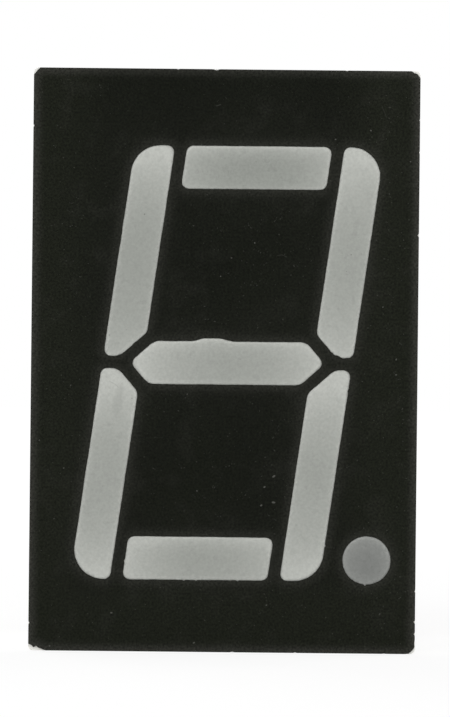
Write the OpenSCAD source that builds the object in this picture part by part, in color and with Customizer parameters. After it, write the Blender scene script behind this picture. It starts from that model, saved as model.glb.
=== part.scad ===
// Single digit seven segment LED display, with a slanted digit, a decimal point and ten round pins.
// A white moulded reflector holds one tapering light well for each lamp. Its face is printed black,
// the wells are filled with grey diffusing resin, and a two sided circuit board that carries the
// lamp chips closes them from behind. Clear resin seals the board in, and the pins stand out of it.
//
// Frame: X to the right and Z up as the digit is read, Y from the face to the back. The origin is the
// middle of the rear rim, in the plane that seats on a circuit board. Lengths are in millimetres.

/* [Body] */
// Width of the body
body_w = 12.6; // [12.4:0.1:16]
// Height of the body
body_h = 19; // [18.6:0.1:24]
// Depth of the body, from the printed face to the rear rim
body_d = 8; // [7:0.1:12]
// Radius of the four long corners
corner_r = 0.15; // [0.1:0.05:0.5]
// Bevel round the outside of the rear rim
rim_bevel = 0.15; // [0.05:0.05:0.3]
// Thickness of the side walls round the board
wall = 0.6; // [0.45:0.01:0.75]
// Radius in the corners of the rear recess
recess_r = 0.5; // [0.2:0.05:1]

/* [Digit] */
// Height of the digit
digit_h = 14.17; // [11:0.01:14.8]
// Width of the digit, before it slants
digit_w = 8.16; // [7.8:0.01:8.4]
// Slant of the digit from upright, in degrees
slant = 8; // [0:0.5:10]
// Width of an upright bar
upright_w = 1.325; // [1.1:0.005:1.6]
// Height of a level bar
level_h = 1.42; // [1.1:0.01:1.7]
// Length of the middle bar, from point to point
middle_len = 6.37; // [5.4:0.01:6.4]
// Gap between neighbouring bars
bar_gap = 0.38; // [0.2:0.01:0.5]
// How far the digit's centre lies right of the body's centre
digit_right = 0.094; // [-0.3:0.002:0.3]
// How far the digit's centre lies above the body's centre
digit_up = -0.075; // [-0.3:0.005:0.3]
// Radius of the digit's four outer corners
outer_r = 0.96; // [0.3:0.01:1.1]
// Radius of a bar's small corners
small_r = 0.23; // [0.05:0.01:0.3]
// Radius of the blunt corners beside the middle bar
blunt_r = 0.5; // [0.1:0.05:0.6]
// Radius of an upright bar's shoulder, where its bevel meets its inner side
shoulder_r = 0.35; // [0.1:0.05:0.6]
// Radius of the middle bar's four blunt corners
middle_r = 0.45; // [0.1:0.05:0.6]

/* [Decimal point] */
// Diameter of the decimal point
dot_d = 1.59; // [1.3:0.01:1.8]
// How far its centre lies right of the body's centre
dot_right = 4.7; // [4.6:0.01:5]
// How far its centre lies below the body's centre
dot_down = 6.46; // [6.2:0.01:6.6]

/* [Wells and resin] */
// Straight depth at a well's mouth, before it tapers
well_land = 0.45; // [0.4:0.05:1]
// Length of a well's foot, on the board
foot_len = 2; // [1.8:0.05:2.4]
// Width of a well's foot
foot_w = 1.1; // [0.9:0.05:1.2]
// Diameter of the decimal point's foot
dot_foot_d = 1.3; // [1.2:0.01:1.3]
// How far the resin lies below the print
resin_sink = 0.02; // [0.01:0.01:0.04]
// Thickness of the wall in front of the moulding pockets
front_wall = 1; // [0.8:0.1:2]
// Wall left between a moulding pocket and the bars round it
pocket_wall = 0.75; // [0.6:0.05:1]

/* [Face print] */
// Thickness of the black print
print_t = 0.05; // [0.05:0.01:0.1]
// Chip out of the print at the upper left corner, across and down
chip_upper_left = [0.21, 0.24]; // [0.1:0.01:0.6]
// Chip out of the print at the upper right corner, across and down
chip_upper_right = [0.2, 0.24]; // [0.1:0.01:0.6]
// Chip out of the print at the lower left corner, across and up
chip_lower_left = [0.6, 0.22]; // [0.1:0.01:0.6]
// Chip out of the print at the lower right corner, across and up
chip_lower_right = [0.19, 0.24]; // [0.1:0.01:0.6]
// Length of the nick in the upper edge of the middle bar's well
nick_len = 1.3; // [0.6:0.05:2]
// Height of that nick
nick_h = 0.1; // [0.05:0.01:0.15]
// Depth of that nick into the moulding
nick_depth = 0.3; // [0.1:0.05:0.35]
// How far the nick's middle lies left of the body's centre
nick_left = 0.36; // [0:0.02:1]

/* [Circuit board] */
// Thickness of the board
board_t = 1; // [0.8:0.1:1.6]
// Gap between the board's edge and the side walls
board_gap = 0.08; // [0.04:0.01:0.15]
// Thickness of the copper
copper_t = 0.035; // [0.035:0.005:0.07]
// Width of a copper track
track_w = 0.3; // [0.2:0.05:0.4]
// Diameter of the copper pad round a pin
pad_d = 1; // [0.9:0.05:1.1]
// Diameter of the holes that join the two copper layers
via_d = 0.3; // [0.2:0.05:0.35]
// Thickness of the copper lining in a hole
lining_t = 0.03; // [0.02:0.005:0.04]

/* [Lamps] */
// Side of a lamp chip
chip_w = 0.28; // [0.2:0.02:0.36]
// Height of a lamp chip
chip_h = 0.24; // [0.15:0.01:0.3]
// Thickness of the adhesive under a lamp chip
glue_t = 0.02; // [0.01:0.01:0.04]
// Diameter of a bond wire
wire_d = 0.04; // [0.03:0.01:0.06]
// Distance from a lamp chip to the end of its bond wire
wire_reach = 0.62; // [0.5:0.02:0.7]

/* [Pins] */
// Diameter of a pin's wire
pin_d = 0.5; // [0.4:0.01:0.6]
// Length of a pin behind the rear rim
pin_out = 6; // [3:0.5:12]
// Distance between neighbouring pins
pin_pitch = 2.54; // [2:0.01:2.54]
// Distance between the two rows of pins
row_pitch = 15.24; // [15:0.01:15.24]
// Length of the taper at a pin's tip
tip_len = 0.25; // [0.1:0.05:0.5]
// Thickness of the tin coat on a pin's free end
tin_t = 0.01; // [0.005:0.005:0.02]
// Distance from the rear rim to the start of the tin coat
tin_start = 0.3; // [0.1:0.1:0.5]
// Gap round a pin in its lined hole, which the solder fills
solder_gap = 0.05; // [0.03:0.01:0.08]
// How far the potting resin lies below the rear rim
potting_sink = 0.3; // [0.1:0.05:0.5]
// Thickness of the potting resin behind the board
potting_t = 1.1; // [0.9:0.1:2]

/* [Hidden] */
LAMPS = ["a", "b", "c", "d", "e", "f", "g", "dp"];
MIDDLE = 6;
DOT = 7;
PIN_COUNT = 10;
COMMON_PINS = [2, 7];
LAMP_PINS = [6, 5, 3, 1, 0, 8, 9, 4]; // the pin that feeds each lamp, counted from 0

function fill_name(i) = i == DOT ? "decimal_point" : str("segment_", LAMPS[i]);

$fn = 48;
slack = 0.5; // how far a cutting shape runs past the face that it cuts
arc_steps = 8; // straight steps in each rounded corner of a bar
least_side = 0.02; // straight stretch that is left between two rounded corners

// Depths behind the printed face
board_back = body_d - potting_sink - potting_t;
board_front = board_back - board_t;
well_foot = board_front - copper_t;
copper_back = board_back + copper_t;
chip_seat = well_foot - glue_t;
chip_top = chip_seat - chip_h;

// The digit before it slants, from its own centre
half_h = digit_h / 2;
half_w = digit_w / 2;
upright_in = half_w - upright_w;
level_half = upright_in - bar_gap;
half_gap = bar_gap / 2;
middle_half = middle_len / 2;
point_sum = middle_half + bar_gap * sqrt(2); // x + y along the bevel at an upright's inner end

// The board and the recess that it drops into
recess = [body_w - 2 * wall, body_h - 2 * wall];
board = [recess[0] - 2 * board_gap, recess[1] - 2 * board_gap];
copper_edge = 0.03; // least distance from the copper to the board's edge

// Holes in the board, from the pin outwards
pin_r = pin_d / 2;
tinned_r = pin_r + tin_t;
solder_r = pin_r + solder_gap;
hole_r = solder_r + lining_t;
via_r = via_d / 2 + lining_t;
via_rim = 0.15; // width of the copper ring round a hole that joins the layers
via_pad_r = via_r + via_rim;
bare_rim = 0.08; // width of the pad left bare round the solder
fillet_r = pad_d / 2 - bare_rim;
fillet_front = 0.12; // height of the solder in front of the board
fillet_back = 0.55; // height of the solder behind the board
pin_front = 0.3; // how far a pin passes the board's front
relief_gap = 0.04; // clearance round the solder in front of the board
relief_d = 0.5; // depth of the housing's clearance for a pin's front end
relief_r = fillet_r + relief_gap;

// Places along a well's foot, from its centre towards the bond pad
chip_at = -0.28;
bond_at = chip_at + wire_reach;
via_at = -foot_len / 2 - via_pad_r;
chip_pad_rim = 0.13; // copper left on each side of a chip
chip_pad_w = chip_w + 2 * chip_pad_rim;
bond_pad_w = track_w + 0.06;
bond_pad_before = 0.06; // length of the bond pad before the middle of its wire's end
bond_pad_past = 0.12; // and past it
glue_rim = 0.03; // adhesive past the chip's corners
glue_d = chip_w * sqrt(2) + 2 * glue_rim;

// Bond wire
wire_sides = 8;
wire_steps = 9;
wire_pull = 0.35; // height above the chip of the point that draws the loop up
ball_d = 2.4 * wire_d;
ball_h = 1.2 * wire_d;
wire_rest = wire_d / 2 * cos(180 / wire_sides); // a wire's centre above the pad that its flat side lies on
wire_foot = 0.08; // length that lies flat on the bond pad

// ---- Frame and plain solids ----

// What is drawn with X right, Y up and Z as the depth behind the face, placed in the part's frame
module face_frame()
    translate([0, -body_d, 0])
    mirror([0, 1, 0])
    rotate([90, 0, 0])
    children();

// A block of the given [width, height] with rounded long corners, from depth z0 to depth z1
module rounded_block(size, r, z0, z1) {
    translate([0, 0, z0]) {
        translate([r - size[0] / 2, -size[1] / 2, 0])
            cube([size[0] - 2 * r, size[1], z1 - z0]);
        translate([-size[0] / 2, r - size[1] / 2, 0])
            cube([size[0], size[1] - 2 * r, z1 - z0]);
        for (x = [-1, 1], y = [-1, 1])
            translate([x * (size[0] / 2 - r), y * (size[1] / 2 - r), 0])
                cylinder(r = r, h = z1 - z0);
    }
}

// The side view of a block of the given width, whose far edges are bevelled
function bevelled_side(width, z0, z1, bevel) = [
    [-width / 2, z0], [width / 2, z0],
    [width / 2, z1 - bevel], [width / 2 - bevel, z1],
    [bevel - width / 2, z1], [-width / 2, z1 - bevel]];

// ---- Outlines of the bars ----

function unit(v) = v / norm(v);
function slanted(p) = [p[0] + p[1] * tan(slant) + digit_right, p[1] + digit_up];

// The corner p between its neighbours a and b, rounded to radius r
function round_corner(a, p, b, r) =
    let (to_a = unit(a - p),
         to_b = unit(b - p),
         half = acos(to_a * to_b) / 2,
         centre = p + unit(to_a + to_b) * r / sin(half),
         first = p + to_a * r / tan(half) - centre,
         last = p + to_b * r / tan(half) - centre,
         start = atan2(first[1], first[0]),
         turn = (atan2(last[1], last[0]) - start + 540) % 360 - 180)
    [for (k = [0:arc_steps])
        let (angle = start + turn * k / arc_steps)
        centre + r * [cos(angle), sin(angle)]];

// How far a rounding of radius r at the corner p reaches along each side
function corner_reach(a, p, b, r) = r / tan(acos(unit(a - p) * unit(b - p)) / 2);

// Corners are [x, y, radius]; the outline slants them and rounds each one, by less than its radius
// where a side is too short for the roundings at its two ends
function rounded_outline(corners) =
    let (n = len(corners),
         at = [for (c = corners) slanted([c[0], c[1]])],
         reach = [for (i = [0:n - 1])
             corner_reach(at[(i + n - 1) % n], at[i], at[(i + 1) % n], corners[i][2])],
         room = [for (i = [0:n - 1])
             (norm(at[(i + 1) % n] - at[i]) - least_side) / (reach[i] + reach[(i + 1) % n])])
    [for (i = [0:n - 1])
        let (before = (i + n - 1) % n, r = corners[i][2] * min(1, room[before], room[i]))
        each round_corner(at[before], at[i], at[(i + 1) % n], r)];

// Corners mirrored left to right (sx = -1) or top to bottom (sy = -1), still anticlockwise
function mirrored(corners, sx, sy) =
    let (last = len(corners) - 1)
    [for (i = [0:last])
        let (c = corners[sx * sy < 0 ? last - i : i])
        [sx * c[0], sy * c[1], c[2]]];

top_corners = [
    [-level_half, half_h - level_h, small_r], [level_half, half_h - level_h, small_r],
    [level_half, half_h, small_r], [-level_half, half_h, small_r]];
middle_corners = [
    [-middle_half, 0, small_r], [level_h / 2 - middle_half, -level_h / 2, middle_r],
    [middle_half - level_h / 2, -level_h / 2, middle_r], [middle_half, 0, small_r],
    [middle_half - level_h / 2, level_h / 2, middle_r], [level_h / 2 - middle_half, level_h / 2, middle_r]];
// The upper left bar, down its outer side and up its inner side
upright_corners = [
    [-half_w, half_h, outer_r], [-half_w, half_gap, small_r],
    [half_gap - point_sum, half_gap, blunt_r], [-upright_in, point_sum - upright_in, shoulder_r],
    [-upright_in, half_h, small_r]];

LAMP_CORNERS = [
    top_corners,
    mirrored(upright_corners, -1, 1),
    mirrored(upright_corners, -1, -1),
    mirrored(top_corners, 1, -1),
    mirrored(upright_corners, 1, -1),
    upright_corners,
    middle_corners];

// Middle of each lamp's well
level_y = half_h - level_h / 2;
upright_x = half_w - upright_w / 2;
upright_y = (half_h + half_gap) / 2;
LAMP_CENTRES = [
    slanted([0, level_y]), slanted([upright_x, upright_y]), slanted([upright_x, -upright_y]),
    slanted([0, -level_y]), slanted([-upright_x, -upright_y]), slanted([-upright_x, upright_y]),
    slanted([0, 0]), [dot_right, -dot_down]];
// Direction of each lamp's bond wire, as an angle from X
LAMP_ANGLES = [0, 90 - slant, 270 - slant, 180, 270 - slant, 90 - slant, 180, 270];
// Length and width of each bar, along and across its bond wire
level_size = [2 * level_half, level_h];
upright_size = [(half_h - half_gap) / cos(slant), upright_w * cos(slant)];
LAMP_SIZES = [
    level_size, upright_size, upright_size, level_size, upright_size, upright_size, [middle_len, level_h]];

function turned(p, angle) = [p[0] * cos(angle) - p[1] * sin(angle), p[0] * sin(angle) + p[1] * cos(angle)];
// The point at [along, across] from the middle of lamp i's well
function lamp_point(i, along, across = 0) = LAMP_CENTRES[i] + turned([along, across], LAMP_ANGLES[i]);
// Lamp i's outline, measured from the middle of its well, along and across
function own_outline(i) =
    [for (p = rounded_outline(LAMP_CORNERS[i])) turned(p - LAMP_CENTRES[i], -LAMP_ANGLES[i])];
function foot_scale(i) = [foot_len / LAMP_SIZES[i][0], foot_w / LAMP_SIZES[i][1]];

// ---- Wells ----

// A closed solid through rings of equal length, each a list of points; the end rings are convex
function ring_faces(rings, n) = concat(
    [[for (k = [0:n - 1]) k]],
    [[for (k = [n - 1:-1:0]) (rings - 1) * n + k]],
    [for (r = [0:rings - 2], k = [0:n - 1]) each [
        [r * n + k, (r + 1) * n + k, r * n + (k + 1) % n],
        [r * n + (k + 1) % n, (r + 1) * n + k, (r + 1) * n + (k + 1) % n]]]);
module through_rings(rings)
    polyhedron(points = [for (ring = rings) each ring], faces = ring_faces(len(rings), len(rings[0])));

// The space of bar i's well: straight from depth z0, tapering to its foot, then straight to depth z1
module bar_well(i, z0, z1) {
    own = own_outline(i);
    foot = [for (p = own) [p[0] * foot_scale(i)[0], p[1] * foot_scale(i)[1]]];
    levels = concat([[own, z0], [own, well_land], [foot, well_foot]], z1 > well_foot ? [[foot, z1]] : []);
    translate([LAMP_CENTRES[i][0], LAMP_CENTRES[i][1], 0])
        rotate(LAMP_ANGLES[i])
        through_rings([for (level = levels) [for (p = level[0]) [p[0], p[1], level[1]]]]);
}

module dot_well(z0, z1)
    translate([dot_right, -dot_down, 0])
    rotate_extrude()
    polygon(concat(
        [[0, z0], [dot_d / 2, z0], [dot_d / 2, well_land], [dot_foot_d / 2, well_foot]],
        z1 > well_foot ? [[dot_foot_d / 2, z1]] : [],
        [[0, z1]]));

module well(i, z0, z1) {
    if (i == DOT)
        dot_well(z0, z1);
    else
        bar_well(i, z0, z1);
}

// The straight mouth of well i, from depth z0 to depth z1
module well_mouth(i, z0, z1)
    translate([0, 0, z0])
    if (i == DOT)
        translate([dot_right, -dot_down, 0])
            cylinder(d = dot_d, h = z1 - z0);
    else
        linear_extrude(z1 - z0)
            polygon(rounded_outline(LAMP_CORNERS[i]));

// The nick broken out of the upper edge of the middle bar's well, from depth z0
module nick(z0) {
    edge = level_h / 2 + digit_up;
    inside = 0.2;
    translate([-nick_left, edge, z0])
        linear_extrude(nick_depth - z0)
        polygon([
            [-nick_len / 2, -inside], [nick_len / 2, -inside], [nick_len / 2, 0],
            [nick_len / 6, nick_h], [-nick_len / 4, nick_h], [-nick_len / 2, 0]]);
}

// ---- Housing and face ----

// Four corners of a moulding pocket in the upper loop of the digit; side is -1 or 1
function pocket_corners(side, up) =
    let (rib = pocket_wall / 2,
         x0 = side * rib,
         x1 = side * (upright_in - pocket_wall),
         y0 = up * (level_h / 2 + pocket_wall),
         y1 = up * (half_h - level_h - pocket_wall))
    [for (p = [[x0, y0], [x1, y0], [x1, y1], [x0, y1]]) slanted(p)];

module moulding_pockets()
    for (side = [-1, 1], up = [-1, 1])
        translate([0, 0, front_wall])
            linear_extrude(well_foot - front_wall + slack)
            polygon(pocket_corners(side, up));

function pin_place(p) =
    let (column = p < 5 ? p - 2 : 7 - p)
    [column * pin_pitch, (p < 5 ? -1 : 1) * row_pitch / 2];

// Repeats its children at each pin's place
module at_pins(pins = [0:PIN_COUNT - 1])
    for (p = pins)
        translate([pin_place(p)[0], pin_place(p)[1], 0])
            children();

// The outside of the body, behind the print
module body_block()
    intersection() {
        rounded_block([body_w, body_h], corner_r, print_t, body_d);
        translate([0, body_h / 2 + slack, 0])
            rotate([90, 0, 0])
            linear_extrude(body_h + 2 * slack)
            polygon(bevelled_side(body_w, 0, body_d, rim_bevel));
        translate([-body_w / 2 - slack, 0, 0])
            rotate([90, 0, 90])
            linear_extrude(body_w + 2 * slack)
            polygon(bevelled_side(body_h, 0, body_d, rim_bevel));
    }

module reflector_housing()
    color("whitesmoke")
    face_frame()
    difference() {
        body_block();
        rounded_block(recess, recess_r, well_foot, body_d + slack);
        for (i = [0:DOT])
            well(i, 0, well_foot + slack);
        nick(0);
        moulding_pockets();
        at_pins()
            translate([0, 0, well_foot - relief_d])
            cylinder(r = relief_r, h = relief_d + slack);
    }

// The outline of the print, with a chip missing at each corner
function print_outline() =
    let (x = body_w / 2,
         y = body_h / 2,
         ul = chip_upper_left,
         ur = chip_upper_right,
         ll = chip_lower_left,
         lr = chip_lower_right)
    [[-x, ll[1] - y], [ll[0] - x, -y], [x - lr[0], -y], [x, lr[1] - y],
     [x, y - ur[1]], [x - ur[0], y], [ul[0] - x, y], [-x, y - ul[1]]];

module face_print()
    color([0.1, 0.1, 0.09])
    face_frame()
    difference() {
        intersection() {
            rounded_block([body_w, body_h], corner_r, 0, print_t);
            linear_extrude(print_t)
                polygon(print_outline());
        }
        for (i = [0:DOT])
            well_mouth(i, -slack, print_t + slack);
        nick(-slack);
    }

// ---- Circuit board and copper ----

// Repeats its children at the hole that brings each chip's pad to the back of the board
module at_vias()
    for (i = [0:DOT])
        translate([lamp_point(i, via_at)[0], lamp_point(i, via_at)[1], 0])
            children();

// A bore through the board and both copper layers
module through_bore(r)
    translate([0, 0, well_foot - slack])
    cylinder(r = r, h = copper_back - well_foot + 2 * slack);

module circuit_board()
    color([0.84, 0.8, 0.62])
    face_frame()
    difference() {
        rounded_block(board, recess_r - board_gap, board_front, board_back);
        at_pins()
            through_bore(hole_r);
        at_vias()
            through_bore(via_r);
    }

// A copper strip with round ends, from depth z
module strip(a, b, width, z) {
    run = b - a;
    translate([a[0], a[1], z])
        rotate(atan2(run[1], run[0]))
        translate([0, -width / 2, 0])
        cube([norm(run), width, copper_t]);
    for (end = [a, b])
        translate([end[0], end[1], z])
            cylinder(d = width, h = copper_t);
}

// The pad that carries lamp i's chip and runs to its hole through the board
module chip_pad(i)
    strip(lamp_point(i, via_at), lamp_point(i, chip_at), chip_pad_w, well_foot);

// The track from lamp i's bond pad to its pin; the middle bar's passes beside the pad below it first
module segment_track(i) {
    first = lamp_point(i, bond_at);
    last = pin_place(LAMP_PINS[i]);
    path = i == MIDDLE ? [first, [last[0] + track_w, first[1]], last] : [first, last];
    for (k = [0:len(path) - 2])
        strip(path[k], path[k + 1], track_w, well_foot);
    strip(
        lamp_point(i, bond_at - bond_pad_before), lamp_point(i, bond_at + bond_pad_past),
        bond_pad_w, well_foot);
}

// The strips on the back of the board that join both common pins to every chip's hole
module back_strips() {
    strip(pin_place(COMMON_PINS[0]), pin_place(COMMON_PINS[1]), 2 * track_w, board_back);
    for (i = [0:DOT])
        strip(lamp_point(i, via_at), [0, lamp_point(i, via_at)[1]], track_w, board_back);
}

// A round pad from depth z
module round_pad(r, z)
    translate([0, 0, z])
    cylinder(r = r, h = copper_t);

// Pads on both sides of the board and the lining between them, before their bore is cut
module hole_copper(ring_r, lining_r) {
    round_pad(ring_r, well_foot);
    round_pad(ring_r, board_back);
    translate([0, 0, well_foot])
        cylinder(r = lining_r, h = copper_back - well_foot);
}

// Keeps its children clear of the board's edge
module within_board()
    intersection() {
        union()
            children();
        rounded_block([board[0] - 2 * copper_edge, board[1] - 2 * copper_edge], recess_r, 0, body_d);
    }

// Every chip's pad and both common pins, joined by the strips on the back of the board
module tracks_common()
    color([0.85, 0.55, 0.3])
    face_frame()
    within_board()
    difference() {
        union() {
            for (i = [0:DOT])
                chip_pad(i);
            back_strips();
            at_vias()
                hole_copper(via_pad_r, via_r);
            at_pins(COMMON_PINS)
                hole_copper(pad_d / 2, hole_r);
        }
        at_vias()
            through_bore(via_r - lining_t);
        at_pins(COMMON_PINS)
            through_bore(solder_r);
    }

// Eight separate tracks, from each bond pad to its own pin
module tracks_segments()
    color([0.85, 0.55, 0.3])
    face_frame()
    within_board()
    for (i = [0:DOT])
        difference() {
            union() {
                segment_track(i);
                at_pins([LAMP_PINS[i]])
                    hole_copper(pad_d / 2, hole_r);
            }
            at_pins([LAMP_PINS[i]])
                through_bore(solder_r);
        }

// ---- Lamps ----

module at_chip(i)
    translate([lamp_point(i, chip_at)[0], lamp_point(i, chip_at)[1], 0])
    rotate(LAMP_ANGLES[i])
    children();

module adhesive_spot(i)
    at_chip(i)
    translate([0, 0, chip_seat])
    cylinder(d = glue_d, h = glue_t);

module chip_adhesive()
    color("silver")
    face_frame()
    for (i = [0:DOT])
        adhesive_spot(i);

module chip_block(i)
    at_chip(i)
    translate([-chip_w / 2, -chip_w / 2, chip_top])
    cube([chip_w, chip_w, chip_h]);

module led_chip(i)
    color([0.55, 0.5, 0.4])
    face_frame()
    chip_block(i);

// The loop of a bond wire as [along, depth], from inside its ball to the bond pad
function bezier(p, t) =
    p[0] * pow(1 - t, 3) + 3 * p[1] * t * pow(1 - t, 2) + 3 * p[2] * pow(t, 2) * (1 - t) + p[3] * pow(t, 3);
wire_start = chip_top - ball_h / 2;
wire_end = well_foot - wire_rest;
wire_bends = [
    [0, wire_start], [0, chip_top - wire_pull],
    [wire_reach / 2, wire_end], [wire_reach - wire_foot, wire_end]];
wire_points = concat(
    [for (k = [0:wire_steps]) bezier(wire_bends, k / wire_steps)],
    [[wire_reach, wire_end]]);

function wire_direction(k) =
    let (last = len(wire_points) - 1)
    k == 0 ? [0, -1] : k >= last - 1 ? [1, 0] : unit(wire_points[k + 1] - wire_points[k - 1]);

function wire_ring(k) =
    let (p = wire_points[k], d = wire_direction(k), r = wire_d / 2)
    [for (s = [0:wire_sides - 1])
        let (angle = (s + 0.5) * 360 / wire_sides, across = r * cos(angle), up = r * sin(angle))
        [p[0] - up * d[1], across, p[1] + up * d[0]]];

module wire_solid(i)
    at_chip(i) {
        through_rings([for (k = [0:len(wire_points) - 1]) wire_ring(k)]);
        translate([0, 0, chip_top - ball_h])
            cylinder(d = ball_d, h = ball_h);
    }

module bond_wire(i)
    color("gold")
    face_frame()
    wire_solid(i);

// The resin in lamp i's well, cast round its chip and wire
module resin_fill(i)
    color([0.63, 0.64, 0.62])
    face_frame()
    difference() {
        union() {
            well(i, resin_sink, board_front);
            if (i == MIDDLE)
                nick(resin_sink);
        }
        chip_pad(i);
        segment_track(i);
        adhesive_spot(i);
        chip_block(i);
        wire_solid(i);
    }

// ---- Pins, solder and potting ----

pin_start = well_foot - pin_front;
tin_edge = body_d + tin_start;
pin_end = body_d + pin_out;

// A wire with a tapered tip and a thin coat of tin on the end that stands out of the potting
module pin_solid()
    rotate_extrude()
    polygon([
        [0, pin_end], [pin_r / 2, pin_end], [tinned_r, pin_end - tip_len],
        [tinned_r, tin_edge], [pin_r, tin_edge], [pin_r, pin_start], [0, pin_start]]);

module pin(p)
    color("silver")
    face_frame()
    at_pins([p])
    pin_solid();

// Solder round one pin: through its lined hole, with a hollow fillet at each end
module solder_solid() {
    steps = 4;
    reach = fillet_r - pin_r;
    back = [for (k = [0:steps])
        let (t = 90 * k / steps)
        [pin_r + reach * (1 - sin(t)), copper_back + fillet_back * (1 - cos(t))]];
    rotate_extrude()
        polygon(concat(
            [[pin_r, well_foot - fillet_front], [fillet_r, well_foot], [solder_r, well_foot]],
            [[solder_r, copper_back]],
            back));
}

module solder_joints()
    color("lightgray")
    face_frame()
    at_pins()
    solder_solid();

module rear_potting()
    color([0.9, 0.88, 0.78, 0.6])
    face_frame()
    difference() {
        rounded_block(recess, recess_r, board_back, body_d - potting_sink);
        at_pins() {
            pin_solid();
            solder_solid();
        }
        within_board() {
            back_strips();
            at_vias()
                round_pad(via_pad_r, board_back);
            at_pins()
                round_pad(pad_d / 2, board_back);
        }
    }

// ---- Nodes ----

reflector_housing();
face_print();
for (i = [0:DOT])
    resin_fill(i);
circuit_board();
tracks_common();
tracks_segments();
chip_adhesive();
solder_joints();
rear_potting();
for (i = [0:DOT]) {
    led_chip(i);
    bond_wire(i);
}
for (p = [0:PIN_COUNT - 1])
    pin(p);
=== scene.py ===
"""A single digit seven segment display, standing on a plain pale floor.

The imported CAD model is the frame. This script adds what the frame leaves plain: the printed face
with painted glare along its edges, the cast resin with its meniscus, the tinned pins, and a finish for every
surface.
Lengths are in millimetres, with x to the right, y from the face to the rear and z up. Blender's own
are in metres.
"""
import math
import random

import bmesh
import bpy
import numpy as np
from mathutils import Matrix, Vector, noise
from mathutils.geometry import delaunay_2d_cdt
from mathutils.kdtree import KDTree


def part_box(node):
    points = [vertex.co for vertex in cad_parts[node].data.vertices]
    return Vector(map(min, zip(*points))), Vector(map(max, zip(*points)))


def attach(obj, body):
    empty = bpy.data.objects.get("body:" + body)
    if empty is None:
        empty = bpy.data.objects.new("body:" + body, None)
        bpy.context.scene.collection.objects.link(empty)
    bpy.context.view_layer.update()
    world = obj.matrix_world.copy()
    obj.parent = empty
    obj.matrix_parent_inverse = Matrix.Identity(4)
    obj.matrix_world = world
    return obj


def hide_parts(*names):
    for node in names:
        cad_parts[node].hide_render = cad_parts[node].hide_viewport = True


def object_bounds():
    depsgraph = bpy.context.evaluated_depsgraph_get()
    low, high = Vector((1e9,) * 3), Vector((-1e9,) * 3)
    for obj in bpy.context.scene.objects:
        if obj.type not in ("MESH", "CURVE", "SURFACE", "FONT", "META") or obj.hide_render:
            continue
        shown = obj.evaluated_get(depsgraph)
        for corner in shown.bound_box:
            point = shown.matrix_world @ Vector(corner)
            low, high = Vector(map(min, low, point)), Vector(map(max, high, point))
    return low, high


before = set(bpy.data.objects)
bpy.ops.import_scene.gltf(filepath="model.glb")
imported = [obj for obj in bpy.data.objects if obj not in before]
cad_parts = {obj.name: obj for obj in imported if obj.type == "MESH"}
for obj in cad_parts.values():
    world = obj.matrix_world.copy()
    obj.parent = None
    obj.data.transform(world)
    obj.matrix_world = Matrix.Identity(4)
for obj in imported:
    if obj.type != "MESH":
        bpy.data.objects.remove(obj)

MM = 0.001
ROOT = "root"
BARS = ["segment_" + letter for letter in "abcdefg"]
FILLS = BARS + ["decimal_point"]
PINS = [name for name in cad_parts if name.startswith("pin_")]

cad_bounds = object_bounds()


def box_mm(node):
    """A node's lowest and highest corner in millimetres."""
    low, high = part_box(node)
    return low / MM, high / MM


# ---- Mesh tools ----

WELD = 1e-4  # vertices closer together than this are one
IN_PLANE = 1e-3  # how far from a plane a vertex may lie and still be in it
SAME_POINT = 1e-6  # in a triangulation, points closer together than this are one
BORDER_ROOM = 0.6  # least distance of a grid point from the border, in steps of the grid
MARK_ROOM = 0.3  # least distance of a grid point from a mark's points, in steps of the grid
MARK_CLEARANCE = 0.004  # least distance of a mark's points from the border
SHARP_ANGLE = 35  # degrees between two faces from which their edge is drawn sharp


def welded(node):
    """A copy of a CAD node's mesh in millimetres, with its doubled vertices joined."""
    mesh = bmesh.new()
    mesh.from_mesh(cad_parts[node].data)
    bmesh.ops.scale(mesh, vec=(1 / MM,) * 3, verts=mesh.verts)
    bmesh.ops.remove_doubles(mesh, verts=mesh.verts, dist=WELD)
    return mesh


def level_faces(mesh, y):
    """The faces that lie in the plane at y."""
    return [f for f in mesh.faces if all(abs(v.co.y - y) < IN_PLANE for v in f.verts)]


def border_loops(edges):
    """Orders edges into closed loops of vertices."""
    links = {}
    for edge in edges:
        for v in edge.verts:
            links.setdefault(v, []).append(edge.other_vert(v))
    loops = []
    waiting = dict.fromkeys(sorted(links, key=lambda v: v.index))
    while waiting:
        loop = [next(iter(waiting))]
        waiting.pop(loop[0])
        while True:
            following = [v for v in links[loop[-1]] if v in waiting]
            if not following:
                break
            waiting.pop(following[0])
            loop.append(following[0])
        loops.append(loop)
    return loops


def signed_area(loop):
    """A closed outline's area, which is negative where it runs clockwise."""
    x, z = loop[:, 0], loop[:, 1]
    return float(np.sum(x * np.roll(z, -1) - np.roll(x, -1) * z) / 2)


def resampled(loop, step):
    """Points at even steps round a closed outline, anticlockwise."""
    if signed_area(loop) < 0:
        loop = loop[::-1]
    closed = np.vstack([loop, loop[:1]])
    travel = np.concatenate([[0], np.cumsum(np.linalg.norm(np.diff(closed, axis=0), axis=1))])
    count = int(round(travel[-1] / step))
    at = np.arange(count) * travel[-1] / count
    return np.column_stack([np.interp(at, travel, closed[:, k]) for k in (0, 1)])


def softened(loop, passes):
    """Each point is drawn towards its neighbours, which rounds a faceted curve."""
    for _ in range(passes):
        loop = (np.roll(loop, 1, axis=0) + 2 * loop + np.roll(loop, -1, axis=0)) / 4
    return loop


def outward(loop):
    """Unit normals that point out of an anticlockwise outline."""
    run = np.roll(loop, -1, axis=0) - np.roll(loop, 1, axis=0)
    run /= np.linalg.norm(run, axis=1)[:, None]
    return np.column_stack([run[:, 1], -run[:, 0]])


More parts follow.
